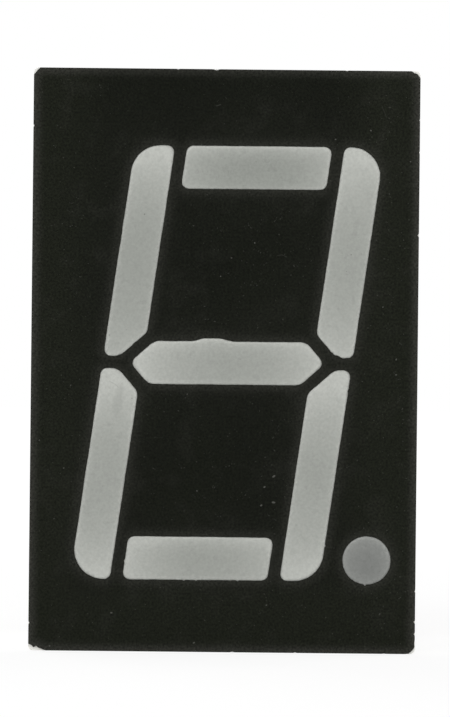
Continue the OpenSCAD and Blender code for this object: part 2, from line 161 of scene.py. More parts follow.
def inside(points, loops):
    """Which points lie within an odd number of the loops."""
    found = np.zeros(len(points), bool)
    for loop in loops:
        low, high = loop.min(axis=0), loop.max(axis=0)
        near = np.where(np.all((points >= low) & (points <= high), axis=1))[0]
        x, z = points[near, 0][:, None], points[near, 1][:, None]
        x0, z0 = loop[:, 0], loop[:, 1]
        x1, z1 = np.roll(x0, -1), np.roll(z0, -1)
        spans = (z0 > z) != (z1 > z)
        rise = np.where(z1 == z0, 1.0, z1 - z0)
        crosses = spans & (x < x0 + (z - z0) * (x1 - x0) / rise)
        found[near] ^= crosses.sum(axis=1) % 2 == 1
    return found


def ripple(x, z, size, scale, layer):
    """A smooth random rise or fall at x, z, of about size at most, with about scale waves to the millimetre.

    Each layer has its own pattern.
    """
    return size * noise.noise(Vector((x * scale, z * scale, layer)))


def tree_of(points):
    """The points in a tree that finds the nearest one."""
    tree = KDTree(len(points))
    for k, (x, z) in enumerate(points):
        tree.insert((x, z, 0), k)
    tree.balance()
    return tree


def distances(points, tree):
    """How far each point lies from the nearest in the tree."""
    return np.array([tree.find((x, z, 0))[2] for x, z in points])


# Each ring of a speck: its share of the radius, how many points, its share of the strength
SPECK_RINGS = [(0.0, 1, 1.0), (0.62, 6, 1.0), (1.0, 8, 0.0)]


def speck(x, z, radius, strength, stretch=1.0, lean=0.0):
    """Points of a small mark at x, z, as x, z, strength: a round one, or one drawn out along lean."""
    points = []
    for share, count, level in SPECK_RINGS:
        for k in range(count):
            turn = 2 * math.pi * (k + share) / count  # staggers the rings' points against each other
            along, across = stretch * share * radius * math.cos(turn), share * radius * math.sin(turn)
            points.append((
                x + along * math.cos(lean) - across * math.sin(lean),
                z + along * math.sin(lean) + across * math.cos(lean), strength * level))
    return points


def scratch(path, width, strength):
    """Points of a fine line through the places in path, as x, z, strength, clean beyond both its ends."""
    points = []
    for (x0, z0), (x1, z1) in zip(path, path[1:]):
        length = math.hypot(x1 - x0, z1 - z0)
        run_x, run_z = (x1 - x0) / length * width / 2, (z1 - z0) / length * width / 2
        steps = max(1, round(length / width))
        for k in range(steps + 1):
            x, z = x0 + (x1 - x0) * k / steps, z0 + (z1 - z0) * k / steps
            points += [(x, z, strength), (x - run_z, z + run_x, 0.0), (x + run_z, z - run_x, 0.0)]
        if (x0, z0) == path[0]:
            points.append((x0 - run_x, z0 - run_z, 0.0))
        if (x1, z1) == path[-1]:
            points.append((x1 + run_x, z1 + run_z, 0.0))
    return points


def filled(loops, step, marks=()):
    """Triangles that fill the region between loops, which stay as they are.

    Marks are points to include, as x, z, strength. Returns the points, the triangles, and each point's
    distance from the border and its strength. The loops' points come first, in their own order.
    """
    border = np.vstack(loops)
    tree = tree_of(border)
    low, high = border.min(axis=0), border.max(axis=0)
    rows = np.arange(low[1], high[1], step * math.sqrt(3) / 2)
    grid = np.array([
        (x + (step / 2 if k % 2 else 0), z)
        for k, z in enumerate(rows) for x in np.arange(low[0], high[0], step)])
    grid = grid[inside(grid, loops)]
    grid = grid[distances(grid, tree) > BORDER_ROOM * step]
    marks = np.array(marks).reshape(-1, 3)
    if len(marks):
        marks = marks[inside(marks[:, :2], loops)]
        marks = marks[distances(marks[:, :2], tree) > MARK_CLEARANCE]
        grid = grid[distances(grid, tree_of(marks[:, :2])) > MARK_ROOM * step]
    points = np.vstack([border, marks[:, :2], grid])
    edges, start = [], 0
    for loop in loops:
        edges += [(start + k, start + (k + 1) % len(loop)) for k in range(len(loop))]
        start += len(loop)
    _, _, faces, origins, _, _ = delaunay_2d_cdt(
        [Vector(p) for p in points], edges, [], 0, SAME_POINT, True)
    first = [min(ids) for ids in origins]
    triangles = np.array([[first[v] for v in face] for face in faces])
    triangles = triangles[inside(points[triangles].mean(axis=1), loops)]
    strength = np.zeros(len(points))
    strength[len(border):len(border) + len(marks)] = marks[:, 2]
    depth = distances(points, tree)
    depth[:len(border)] = 0
    return points, triangles, depth, strength


def rings(loops, gaps, step):
    """Points along lines that run beside a region's border, at each gap, as x, z, strength."""
    outer = max(loops, key=lambda loop: abs(signed_area(loop)))
    points = []
    for loop in loops:
        even = resampled(loop, step)
        side = -1 if loop is outer else 1
        for gap in gaps:
            points += [(x, z, 0.0) for x, z in even + side * gap * outward(even)]
    return points


def make_piece(name, mesh, replaced, attributes=None):
    """Turns a bmesh in millimetres into a piece that rides on the body and stands for CAD nodes."""
    bmesh.ops.scale(mesh, vec=(MM,) * 3, verts=mesh.verts)
    data = bpy.data.meshes.new(name)
    mesh.to_mesh(data)
    mesh.free()
    for key, values in (attributes or {}).items():
        data.attributes.new(key, "FLOAT", "POINT").data.foreach_set("value", values)
    data.shade_smooth()
    data.set_sharp_from_angle(angle=math.radians(SHARP_ANGLE))
    piece = bpy.data.objects.new(name, data)
    bpy.context.scene.collection.objects.link(piece)
    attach(piece, ROOT)
    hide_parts(*replaced)
    return piece


# ---- Printed face ----

INK_STEP = 0.035  # distance between points along the print's border
INK_GRID = 0.16  # and between those inside it
SOFTENING = 2  # how often the openings' faceted curves are softened
INK_FILM = 0.018  # thickness of the ink where it runs out over the resin
INK_DEPTH = 0.003  # how far the ink's surface lies behind the front of its CAD piece, on average
INK_SWELL = (0.003, 0.9, 8.1)  # ripples in it: their size, how many to the millimetre, layer
EDGE_FALL = (0.007, 0.03)  # how far it falls back right at its border, and how far in that reaches
MARK_RISE = 0.006  # how far a mark of strength 1 would stand out of it
BODY_CORNER = 0.15  # radius of the body's long corners, which the ink keeps to
RIM_GROWTH = 0.006  # how far the ink would run past the face's edge, on average
APERTURE_GROWTH = 0.007  # and over the resin
BORDER_WAVE = (0.006, 1.7, 0.3)  # ripples that make its border wander
BORDER_GRAIN = (0.006, 9.0, 4.7)  # and finer ones that make it ragged
RIM_PALE = (1.15, 0.19)  # how pale the painted glare makes the ink along the face's edge, and how far in that reaches
RIM_GLARE_BASE_SHARE = 0.6  # the painted rim glare's share where there is no glare at the sides and bottom, as along most of the upper edge
APERTURE_PALE = (0.46, 0.21)  # how pale the painted glare makes it round the openings, and how far that reaches
APERTURE_HALO = (0.1, 1.2)  # and the painted glare's fainter, wider fringe there
# Where the painted glare at the print's sides and bottom, and the thicker dust there, starts from the face's
# middle, and over what distance it grows to its full
GLARE_AND_DUST_RIGHT = (3.4, 1.8)
GLARE_AND_DUST_LEFT = (3.8, 1.8)
GLARE_AND_DUST_BELOW = (6.6, 1.6)
DUST_SEED = 11
# Where dust gathers: middle x, z, spread in x and z, how many clusters
DUST_FIELDS = [
    (0.0, 0.0, 4.2, 6.0, 230), (0.9, 3.2, 1.3, 1.4, 65), (0.9, -3.4, 1.3, 1.4, 70), (5.5, 0.5, 0.35, 5.0, 75),
    (5.2, -8.2, 0.5, 0.8, 16), (0.0, -8.6, 3.2, 0.5, 30), (-5.2, 0.0, 0.4, 5.0, 28)]
CLUSTER_SIZES = (1, 1, 1, 2, 2, 4)  # a cluster has any of these numbers of bits
DUST_GAP = 0.1  # between one bit and the next of a cluster
DUST_SCATTER = 0.04  # how far a bit strays from its cluster's line
BIT_RADIUS = (0.012, 0.022)  # of the smallest and the largest bit
BIT_STRENGTH = (0.02, 0.16)  # a faint bit's strength, and how much more the strongest has
BIT_STRETCH = (1, 2.2)  # how drawn out a round bit and the longest are

# Where the print's outer border strays: x, z, half length, and how far the ink runs out there
RIM_FLAWS = [
    (-6.3, -8.6, 0.07, -0.05), (-6.3, 7.6, 0.06, -0.04), (6.3, 7.9, 0.05, -0.04), (6.3, 6.85, 0.05, -0.03),
    (6.3, 4.15, 0.07, -0.05), (6.3, -7.45, 0.05, -0.05), (6.3, -8.45, 0.06, -0.06), (6.3, -8.85, 0.07, -0.05),
    (6.3, -9.15, 0.2, -0.03), (5.3, -9.5, 0.1, -0.03), (2.4, -9.5, 0.08, -0.04), (0.35, -9.5, 0.1, -0.03),
    (-1.6, 9.5, 0.07, -0.03), (-0.35, 9.5, 0.15, -0.04), (3.9, 9.5, 0.06, -0.03),
    (6.11, 9.49, 0.12, -0.065), (6.18, 9.37, 0.07, 0.01), (6.11, -9.5, 0.16, -0.03),
    (-6.12, -9.35, 0.07, 0.05), (-6.04, -9.37, 0.06, -0.03)]

# Where the print's border strays at its openings
APERTURE_FLAWS = [
    (-1.45, 6.0, 0.04, -0.035), (-1.45, 5.7, 0.08, -0.03), (-1.75, 5.85, 0.05, -0.035),
    (-3.45, 4.25, 0.05, -0.03), (-2.9, 0.5, 0.12, 0.02), (-3.15, 0.2, 0.1, 0.02),
    (5.05, 6.2, 0.1, -0.02), (3.05, 1.85, 0.05, -0.03), (3.2, 2.75, 0.05, -0.03), (3.2, 3.35, 0.05, -0.03),
    (3.7, 0.15, 0.16, 0.045), (3.5, 0.35, 0.08, -0.02), (4.0, 0.15, 0.1, 0.015),
    (4.05, -0.95, 0.05, 0.02), (3.35, -6.0, 0.05, -0.03), (3.0, -6.95, 0.04, -0.035),
    (4.65, -7.25, 0.05, -0.05), (0.5, -7.15, 0.05, -0.04), (-0.85, -7.15, 0.04, -0.04),
    (-1.25, -7.15, 0.05, -0.04), (-3.2, -6.55, 0.06, -0.03), (-3.15, -7.15, 0.05, -0.03),
    (-3.0, -3.2, 0.05, -0.03), (-3.15, -4.0, 0.05, -0.03)]

# Bits of dust and dabs that stand out on the face: x, z, radius, how drawn out, lean, strength
FACE_MARKS = [
    (3.55, 7.25, 0.026, 1.3, 0.0, 0.37), (4.7, 7.55, 0.028, 1.5, -0.7, 0.37),
    (6.0, 6.55, 0.026, 1.2, -0.4, 0.32), (0.95, 3.85, 0.03, 1.0, 0.0, 0.39),
    (0.2, 3.35, 0.024, 1.3, 0.3, 0.32), (-0.15, 2.75, 0.024, 1.1, 0.8, 0.35),
    (5.15, 1.8, 0.024, 1.3, 1.0, 0.32), (5.6, 0.1, 0.026, 1.6, 1.2, 0.35), (5.6, -0.4, 0.026, 1.6, 0.0, 0.35),
    (-1.2, -1.1, 0.022, 1.3, 0.8, 0.32), (1.65, -3.75, 0.039, 1.9, 0.6, 0.37),
    (1.35, -4.1, 0.034, 1.4, 0.5, 0.37), (1.65, -4.6, 0.039, 1.9, -0.1, 0.39),
    (1.25, -4.7, 0.034, 1.5, 0.7, 0.37), (-0.85, -4.25, 0.026, 1.4, -0.3, 0.32),
    (-3.6, -8.25, 0.028, 1.8, 0.1, 0.37), (-5.6, -9.35, 0.026, 1.4, 0.3, 0.37),
    (-0.9, -9.2, 0.028, 1.8, 0.5, 0.37), (1.45, -7.95, 0.026, 1.4, 0.9, 0.37),
    (5.15, -8.2, 0.022, 1.3, 0.7, 0.32), (-6.0, -2.65, 0.024, 1.3, 0.4, 0.32),
    (-5.2, -3.55, 0.026, 1.2, 0.9, 0.3), (-5.0, -0.85, 0.024, 1.3, 0.2, 0.25),
    (-5.5, -5.2, 0.022, 1.4, 0.6, 0.22)]
# Fine lines on the face: ends, width, strength
FACE_LINES = [
    ([(1.7, 3.45), (1.85, 3.47), (2.0, 3.4)], 0.04, 0.1), ([(5.05, 8.35), (5.2, 8.0)], 0.04, 0.08),
    ([(-0.35, 8.3), (-0.2, 8.35)], 0.04, 0.15)]
# Dull smears: middle x, z, half length, half width, lean, how pale
SMEARS = [
    (5.05, 7.3, 0.4, 0.09, 1.23, 0.3), (0.75, -7.65, 0.3, 0.1, 0.0, 0.25),
    (5.0, 2.2, 0.3, 0.15, 0.3, 0.15), (1.3, 1.5, 0.9, 0.35, 0.5, 0.08),
    (1.5, -3.65, 0.5, 0.3, 0.6, 0.08), (-4.9, 8.9, 0.7, 0.25, 0.1, 0.04)]


def dust():
    """The marks and lines on the print, and finer dust strewn between them in little clusters."""
    rng = random.Random(DUST_SEED)
    marks = []
    for x, z, radius, stretch, lean, strength in FACE_MARKS:
        marks += speck(x, z, radius, strength, stretch, lean)
    for path, width, strength in FACE_LINES:
        marks += scratch(path, width, strength)
    for middle_x, middle_z, spread_x, spread_z, clusters in DUST_FIELDS:
        for _ in range(clusters):
            x, z = rng.gauss(middle_x, spread_x), rng.gauss(middle_z, spread_z)
            lean = rng.uniform(0, math.pi)
            for _ in range(rng.choice(CLUSTER_SIZES)):
                strength = BIT_STRENGTH[0] + BIT_STRENGTH[1] * rng.random() ** 2
                marks += speck(x, z, rng.uniform(*BIT_RADIUS), strength, rng.uniform(*BIT_STRETCH), lean)
                x += DUST_GAP * math.cos(lean) + rng.gauss(0, DUST_SCATTER)
                z += DUST_GAP * math.sin(lean) + rng.gauss(0, DUST_SCATTER)
    return marks


def smeared(x, z):
    """How pale the smears make the print at x, z."""
    total = 0.0
    for middle_x, middle_z, half_length, half_width, lean, pale in SMEARS:
        right, up = x - middle_x, z - middle_z
        along = (right * math.cos(lean) + up * math.sin(lean)) / half_length
        across = (up * math.cos(lean) - right * math.sin(lean)) / half_width
        total += pale * math.exp(-along ** 2 - across ** 2)
    return total


def ink_growth(loop, is_outside):
    """How far the ink runs past each point of its border: a ragged line with flaws."""
    growth = np.empty(len(loop))
    for k, (x, z) in enumerate(loop):
        growth[k] = ripple(x, z, *BORDER_WAVE) + ripple(x, z, *BORDER_GRAIN)
        growth[k] += RIM_GROWTH if is_outside else APERTURE_GROWTH
        for flaw_x, flaw_z, half, run in RIM_FLAWS if is_outside else APERTURE_FLAWS:
            gap = math.hypot(x - flaw_x, z - flaw_z)
            if gap < half:
                growth[k] += run * math.cos(gap / half * math.pi / 2) ** 2
    return growth


def held_in(loop, low, high, radius):
    """The loop's points, drawn back to a rectangle with rounded corners where they pass it."""
    held = loop.copy()
    for k, (x, z) in enumerate(loop):
        near_x = min(max(x, low.x + radius), high.x - radius)
        near_z = min(max(z, low.z + radius), high.z - radius)
        away = math.hypot(x - near_x, z - near_z)
        if away > radius:
            held[k] = near_x + (x - near_x) * radius / away, near_z + (z - near_z) * radius / away
    return held


def glare_and_dust_at(x, z):
    """Painted glare on the print at x, z, which also thickens its dust: 0 in the middle and at the top, 1
    along both sides and the bottom.
    """
    sides = ((x, GLARE_AND_DUST_RIGHT), (-x, GLARE_AND_DUST_LEFT), (-z, GLARE_AND_DUST_BELOW))
    return min(max(0.0, *((out - first) / room for out, (first, room) in sides)), 1.0)


def print_outlines():
    """The outlines of the CAD print's front: its outer border first, then its openings from the largest."""
    source = welded("face_print")
    edge_uses = {}
    for face in level_faces(source, box_mm("face_print")[0].y):
        for edge in face.edges:
            edge_uses[edge] = edge_uses.get(edge, 0) + 1
    loops = [
        np.array([(v.co.x, v.co.z) for v in loop])
        for loop in border_loops([e for e, uses in edge_uses.items() if uses == 1])]
    source.free()
    return sorted(loops, key=lambda loop: -abs(signed_area(loop)))


def ink_borders(low, high):
    """The print's ragged borders, the outer one first, and how far each point of them ran out."""
    borders, growths = [], []
    for k, loop in enumerate(print_outlines()):
        is_outside = k == 0
        loop = resampled(loop, INK_STEP)
        loop = loop if is_outside else softened(loop, SOFTENING)
        growth = ink_growth(loop, is_outside)
        away = outward(loop) * (1 if is_outside else -1)
        border = loop + away * growth[:, None]
        borders.append(held_in(border, low, high, BODY_CORNER) if is_outside else border)
        growths.append(growth)
    return borders, np.concatenate(growths)


def thinness(points, borders, glare_and_dust):
    """How pale each point is: painted glare, most at the print's borders, and the real smears."""
    rim_gap = distances(points, tree_of(borders[0]))
    rim_pale = RIM_PALE[0] * (RIM_GLARE_BASE_SHARE + (1 - RIM_GLARE_BASE_SHARE) * glare_and_dust)
    opening_gap = distances(points, tree_of(np.vstack(borders[1:])))
    thin = np.maximum(
        rim_pale * np.exp(-(rim_gap / RIM_PALE[1]) ** 2),
        APERTURE_PALE[0] * np.exp(-(opening_gap / APERTURE_PALE[1]) ** 2)
        + APERTURE_HALO[0] * np.exp(-opening_gap / APERTURE_HALO[1]))
    return thin + np.array([smeared(x, z) for x, z in points])


def printed_face():
    """The black print: a ragged film with rounded edges, dust and fine scratches."""
    low, high = box_mm("face_print")
    borders, growth = ink_borders(low, high)
    points, triangles, depth, strength = filled(borders, INK_GRID, dust())
    over_resin = np.zeros(len(points), bool)
    over_resin[len(borders[0]):len(growth)] = growth[len(borders[0]):] > 0
    mesh = bmesh.new()
    fronts, back_places = [], []
    for (x, z), gap, mark, film in zip(points, depth, strength, over_resin):
        y = low.y + INK_DEPTH + ripple(x, z, *INK_SWELL)
        y += EDGE_FALL[0] * math.exp(-gap / EDGE_FALL[1]) - MARK_RISE * mark
        fronts.append(mesh.verts.new((x, max(y, low.y), z)))
        back_places.append((x, low.y + INK_FILM if film else high.y, z))
    backs = [mesh.verts.new(place) for place in back_places]
    for a, b, c in triangles:
        mesh.faces.new((fronts[a], fronts[b], fronts[c]))
        mesh.faces.new((backs[a], backs[c], backs[b]))
    start = 0
    for border in borders:
        count = len(border)
        for k in range(count):
            a, b = start + k, start + (k + 1) % count
            mesh.faces.new((fronts[a], fronts[b], backs[b], backs[a]))
        start += count
    bmesh.ops.recalc_face_normals(mesh, faces=mesh.faces)
    # Painted glare: the ink is drawn lighter at the sides and the bottom, where more dust also lies
    glare_and_dust = np.array([glare_and_dust_at(x, z) for x, z in points])
    # Painted glare: paler ink along the face's edge and round the openings, on top of the real smears
    thin = thinness(points, borders, glare_and_dust)
    attributes = {
        "thin": np.concatenate([thin, thin]),
        "glare_and_dust": np.concatenate([glare_and_dust, glare_and_dust]),
        "spot": np.concatenate([strength, 0 * strength])}
    return make_piece("printed_face", mesh, ["face_print"], attributes)


# ---- Resin ----

FILL_STEP = 0.11  # distance between points on the resin's surface
MENISCUS_DEPTH = 0.03  # how far the resin shrank back from its well's mouth
MENISCUS_REACH = 0.16  # distance from the walls over which it falls most of the way to that depth
RESIN_SWELL = (0.002, 1.3, 2.2)  # ripples in its surface: their size, how many to the millimetre, layer
# Dark grains and a short scratch in the resin
FILL_MARKS = {
    "segment_b": speck(4.1, 3.5, 0.03, 0.5) + speck(3.95, 2.95, 0.025, 0.45) + speck(3.8, 3.55, 0.025, 0.4),
    "segment_e": (
        speck(-3.0, -1.25, 0.03, 0.5) + scratch([(-3.75, -0.7), (-3.55, -0.8), (-3.45, -0.9)], 0.035, 0.3)),
    "segment_f": speck(-2.65, 4.75, 0.035, 0.6) + speck(-3.75, 0.8, 0.03, 0.5)}
SMUDGE = (-3.44, -1.35, 0.15, 0.62)  # centre and half sizes of the dull streak on the lower left bar
SMUDGE_SLANT = 0.14  # how far it leans right for each millimetre up
SMUDGE_STRENGTH = 0.16
# How much brighter a bar is at its lower or left end and at its upper or right end, and its middle's level
BAR_GLOW = {
    "segment_a": (0.33, 0.39, 0.04), "segment_b": (0.49, 0.92, 0.24), "segment_c": (0.85, 0.97, 0.3),
    "segment_d": (0.64, 0.39, 0.28), "segment_e": (0.8, 0.97, 0.26), "segment_f": (0.37, 1.0, 0.14),
    "segment_g": (0.78, 0.6, 0.24)}
GLOW_POWER = 2.2  # how much that gathers at the ends
UPPER_GLOW = 0.47  # how much brighter a level bar is along its upper side
DOT_GLOW = (0.3, 0.15)  # how much brighter the decimal point is all round its edge, and at its top
WALL_GLOW = (0.6, 0.045)  # how much brighter resin is right beside a wall, and how far in that reaches
WIDE_GLOW = (0.1, 0.3)  # and its fainter, wider share
CLOUDS = (0.055, 0.8, 5.5)  # ripples in its brightness


def stitched_top(node, y, step, marks=(), gaps=()):
    """A CAD node's mesh whose level faces at y are remade as a fine grid, which follows rings at gaps.

    Returns the mesh, its new surface's vertices, and their distance from the border and mark strength.
    """
    mesh = welded(node)
    faces = level_faces(mesh, y)
    rim = {e for f in faces for e in f.edges if sum(g in faces for g in e.link_faces) == 1}
    bmesh.ops.delete(mesh, geom=faces, context="FACES_KEEP_BOUNDARY")
    for edge in list(rim):
        cuts = int(edge.calc_length() / step)
        if cuts:
            bmesh.ops.subdivide_edges(mesh, edges=[edge], cuts=cuts)
    mesh.verts.index_update()
    rim = [e for e in mesh.edges if e.is_boundary]
    loops = border_loops(rim)
    outlines = [np.array([(v.co.x, v.co.z) for v in loop]) for loop in loops]
    marks = list(marks) + rings(outlines, gaps, step)
    points, triangles, depth, strength = filled(outlines, step, marks)
    verts = [v for loop in loops for v in loop]
    verts += [mesh.verts.new((x, y, z)) for x, z in points[len(verts):]]
    for a, b, c in triangles:
        mesh.faces.new((verts[a], verts[b], verts[c]))
    bmesh.ops.recalc_face_normals(mesh, faces=mesh.faces)
    return mesh, verts, depth, strength


def well_glow(name, x, z, low, high):
    """The light that a well's far walls throw into its resin, from 0 where it is dull to about 1."""
    centre, half = (low + high) / 2, (high - low) / 2
    right, up = (x - centre.x) / half.x, (z - centre.z) / half.z
    if name not in BAR_GLOW:
        return DOT_GLOW[0] * (right ** 2 + up ** 2) + DOT_GLOW[1] * up
    near_glow, far_glow, level = BAR_GLOW[name]
    is_level = half.x > half.z
    share = right if is_level else up
    glow = level + (far_glow if share > 0 else near_glow) * min(abs(share), 1) ** GLOW_POWER
    return glow + UPPER_GLOW * max(up, 0) ** 2 if is_level else glow


def resin_piece(name):
    """Cast resin with a shallow meniscus, and the glow of the white well walls as an attribute."""
    low, high = box_mm(name)
    mesh, verts, depth, strength = stitched_top(name, low.y, FILL_STEP, FILL_MARKS.get(name, ()))
    mesh.verts.index_update()
    count = len(mesh.verts)
    glow, spot = np.zeros(count), np.zeros(count)
    for v, gap, mark in zip(verts, depth, strength):
        x, z = v.co.x, v.co.z
        sag = MENISCUS_DEPTH * (1 - math.exp(-gap / MENISCUS_REACH))
        v.co.y += sag + ripple(x, z, *RESIN_SWELL)
        wall = WALL_GLOW[0] * math.exp(-gap / WALL_GLOW[1]) + WIDE_GLOW[0] * math.exp(-gap / WIDE_GLOW[1])
        glow[v.index] = well_glow(name, x, z, low, high) + wall + ripple(x, z, *CLOUDS)
        across = (x - SMUDGE[0] - (z - SMUDGE[1]) * SMUDGE_SLANT) / SMUDGE[2]
        down = (z - SMUDGE[1]) / SMUDGE[3]
        streak = max(0.0, 1 - across ** 2 - down ** 2)
        spot[v.index] = max(mark, SMUDGE_STRENGTH * math.sqrt(streak))
    return make_piece("resin_" + name, mesh, [name], {"glow": glow, "spot": spot})


POTTING_STEP = 0.16  # distance between points on the potting's surface
POTTING_SWELL = (0.03, 0.35, 9.4)  # ripples in it: their size, how many to the millimetre, layer
CLIMB = 0.16  # how far the potting climbs its walls and pins
CLIMB_REACH = 0.3  # and how far from them that reaches
CLIMB_RINGS = (0.05, 0.12, 0.22, 0.36)  # distances from the walls and pins at which its curve is followed
BOND = 0.012  # how far the potting reaches into what it sticks to, so that no air shows between them


def potting_piece():
    """The clear resin behind the board, drawn up at the walls and round the pins."""
    _, high = box_mm("rear_potting")
    mesh, verts, depth, _ = stitched_top("rear_potting", high.y, POTTING_STEP, gaps=CLIMB_RINGS)
    mesh.normal_update()
    grown = [v.co + BOND * v.normal for v in mesh.verts]
    for v, place in zip(mesh.verts, grown):
        v.co = place
    for v, gap in zip(verts, depth):
        v.co.y += CLIMB * math.exp(-gap / CLIMB_REACH) + ripple(v.co.x, v.co.z, *POTTING_SWELL)
    return make_piece("potting_resin", mesh, ["rear_potting"])


# ---- Pins ----

PIN_SIDES = 28
PIN_STEP = 0.3  # distance between rounds of points along the tin coat
WIRE_SHARE = 0.96  # the bare wire's radius against the tinned end's
FRONT_BEVEL = (0.03, 0.86)  # the front end's bevel: its length, and radius against the tinned end's
TIN_EDGE = 0.3  # where the tin coat starts, behind the rear rim
TIN_RUN = 0.06  # length over which it thickens
TIN_SWELL = 0.015  # how unevenly it lies, as a share of the radius
TIN_SCALE = 0.8  # swells to the millimetre along a pin
TIN_ROOM = 50  # length of the stretch of noise from which each pin's swells are cut
TIP_ROOM = 0.34  # distance from the tip at which its rounding takes over
# The rounding: distance from the tip, and radius against the tinned end's
TIP_PROFILE = ((0.25, 0.97), (0.16, 0.86), (0.08, 0.7), (0.025, 0.5), (0.0, 0.22))


def pin_profile(front, tip):
    """A pin's outline from its front end to its tip: places along it, and its radius's share there."""
    profile = [(front, FRONT_BEVEL[1]), (front + FRONT_BEVEL[0], WIRE_SHARE)]
    profile += [(TIN_EDGE - TIN_RUN, WIRE_SHARE), (TIN_EDGE, 1.0)]
    coated = tip - TIP_ROOM - TIN_EDGE
    steps = int(coated / PIN_STEP)
    profile += [(TIN_EDGE + coated * k / steps, 1.0) for k in range(1, steps + 1)]
    return profile + [(tip - gap, share) for gap, share in TIP_PROFILE]


def pin_piece(name):
    """A tinned round pin: solder lies unevenly on it and rounds its tip."""
    low, high = box_mm(name)
    centre, radius = (low + high) / 2, (high.x - low.x) / 2
    rng = random.Random(name)
    drift = rng.uniform(0, TIN_ROOM)
    mesh = bmesh.new()
    rounds = []
    for y, share in pin_profile(low.y, high.y):
        points = []
        for k in range(PIN_SIDES):
            turn = 2 * math.pi * k / PIN_SIDES
            swell = noise.noise(Vector((math.cos(turn) + drift, math.sin(turn), y * TIN_SCALE)))
            r = radius * share * (1 - TIN_SWELL + TIN_SWELL * swell)
            points.append(mesh.verts.new((centre.x + r * math.cos(turn), y, centre.z + r * math.sin(turn))))
        rounds.append(points)
    for near, far in zip(rounds, rounds[1:]):
        for k in range(PIN_SIDES):
            n = (k + 1) % PIN_SIDES
            mesh.faces.new((near[k], near[n], far[n], far[k]))
    mesh.faces.new(rounds[0])
    mesh.faces.new(rounds[-1][::-1])
    bmesh.ops.recalc_face_normals(mesh, faces=mesh.faces)
    return make_piece("tinned_" + name, mesh, [name])


# ---- Finishes ----


def from_srgb(red, green, blue):
    """A display colour, 0 to 255 a channel, as linear light."""
    values = [c / 255 for c in (red, green, blue)]
    return tuple(c / 12.92 if c <= 0.04045 else ((c + 0.055) / 1.055) ** 2.4 for c in values) + (1.0,)


def add_node(tree, kind, inputs=None, output=0, **settings):
    """Adds a node; an input is a constant or the output that feeds it. Returns one of its outputs."""
    node = tree.nodes.new(kind)
    for key, value in settings.items():
        setattr(node, key, value)
    for key, value in (inputs or {}).items():
        if isinstance(value, bpy.types.NodeSocket):
            tree.links.new(value, node.inputs[key])
        else:
            node.inputs[key].default_value = value
    return node.outputs[output]


def map_range(tree, value, low, high, to_low, to_high):
    """Carries value from the range low to high over to another, and holds it in there."""
    return add_node(tree, "ShaderNodeMapRange", {0: value, 1: low, 2: high, 3: to_low, 4: to_high})


class Finish:
    """A material with one Principled shader. Its patterns are laid out in millimetres on the object."""

    def __init__(self, name, color, **sockets):
        self.material = bpy.data.materials.new(name)
        self.material.use_nodes = True
        self.tree = self.material.node_tree
        self.shader = self.tree.nodes["Principled BSDF"]
        self.shader.inputs["Base Color"].default_value = color
        for key, value in sockets.items():
            self.shader.inputs[key.replace("_", " ")].default_value = value
        coordinates = self.add("ShaderNodeTexCoord", output="Object")
        self.place = self.add("ShaderNodeVectorMath", {0: coordinates, "Scale": 1 / MM}, operation="SCALE")

    def add(self, kind, inputs=None, output=0, **settings):
        """Adds a node to this material, as add_node does."""
        return add_node(self.tree, kind, inputs, output, **settings)

    def noise(self, scale, detail, stretch=None):
        """Cloudy noise of about this many patches to the millimetre."""
        place = self.place
        if stretch:
            place = self.add("ShaderNodeVectorMath", {0: place, 1: stretch}, operation="MULTIPLY")
        return self.add("ShaderNodeTexNoise", {"Vector": place, "Scale": scale, "Detail": detail})

    def cells(self, scale):
        """The distance to the nearest of many scattered points, and a number drawn for that point."""
        distance = self.add("ShaderNodeTexVoronoi", {"Vector": self.place, "Scale": scale}, output="Distance")
        return distance, distance.node.outputs["Color"]

    def spread(self, value, low, high, to_low=0.0, to_high=1.0):
        """Carries value from one range over to another, as map_range does."""
        return map_range(self.tree, value, low, high, to_low, to_high)

    def attribute(self, name):
        """A number that the mesh holds for each of its points."""
        return self.add("ShaderNodeAttribute", output="Fac", attribute_name=name)

    def along(self, axis):
        """How far along an axis the surface lies."""
        return self.add("ShaderNodeSeparateXYZ", {0: self.place}, output=axis)

    def math(self, operation, a, b):
        """One sum, difference or product."""
        return self.add("ShaderNodeMath", {0: a, 1: b}, operation=operation)

    def mix(self, factor, a, b, blend="MIX"):
        """Colour a with factor's share of colour b laid over it."""
        return self.add(
            "ShaderNodeMix", {0: factor, 6: a, 7: b}, output=2, data_type="RGBA", blend_type=blend)

    def feed(self, socket, value):
        """Lets a pattern drive one of the shader's sockets."""
        self.tree.links.new(value, self.shader.inputs[socket])

    def bump(self, height, size, strength, below=None):
        """The surface's normal, tilted as if height stood out by size, on top of the bumps below it."""
        inputs = {"Height": height, "Distance": size * MM, "Strength": strength}
        if below is not None:
            inputs["Normal"] = below
        return self.add("ShaderNodeBump", inputs)


